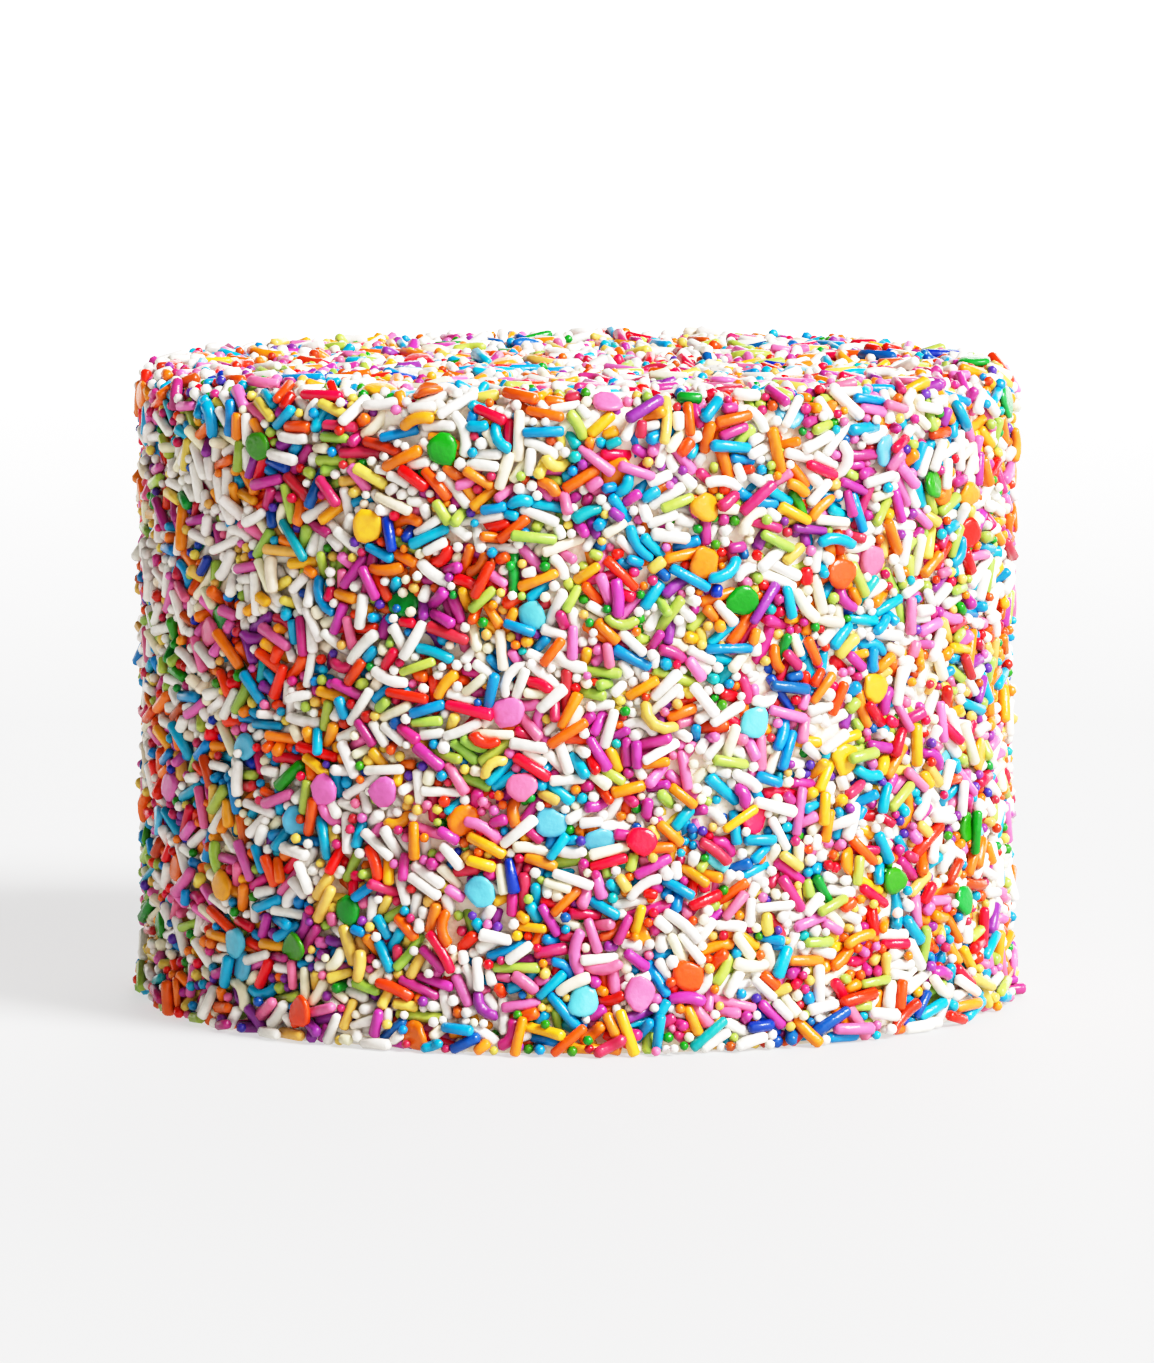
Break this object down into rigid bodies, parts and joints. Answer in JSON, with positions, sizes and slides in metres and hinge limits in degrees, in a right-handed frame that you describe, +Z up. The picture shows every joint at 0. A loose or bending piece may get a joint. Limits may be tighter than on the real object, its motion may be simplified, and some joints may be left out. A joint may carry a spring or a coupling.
{
  "type": "sprinkle covered layer cake",
  "caption": "Tall round layer cake with straight sides, a flat top and a flat base, covered all over in a coat of rainbow sprinkles over white icing.",
  "frame": {"origin": "centre of the flat base, on the surface that the cake stands on", "axes": "+Z up along the cake's axis; X and Y lie level, and the side seen in the picture faces -Y"},
  "size_m": [0.163, 0.1635, 0.1187],
  "materials": {
    "icing_white": "soft white buttercream with a faint sheen",
    "sprinkle_white": "glazed sugar",
    "sprinkle_pink": "glazed sugar",
    "sprinkle_red": "glazed sugar",
    "sprinkle_orange": "glazed sugar",
    "sprinkle_yellow": "glazed sugar",
    "sprinkle_lime": "glazed sugar",
    "sprinkle_green": "glazed sugar",
    "sprinkle_sky": "glazed sugar",
    "sprinkle_blue": "glazed sugar",
    "sprinkle_purple": "glazed sugar"
  },
  "bodies": {
    "root": {"cake": "icing_white"}
  },
  "joints": []
}
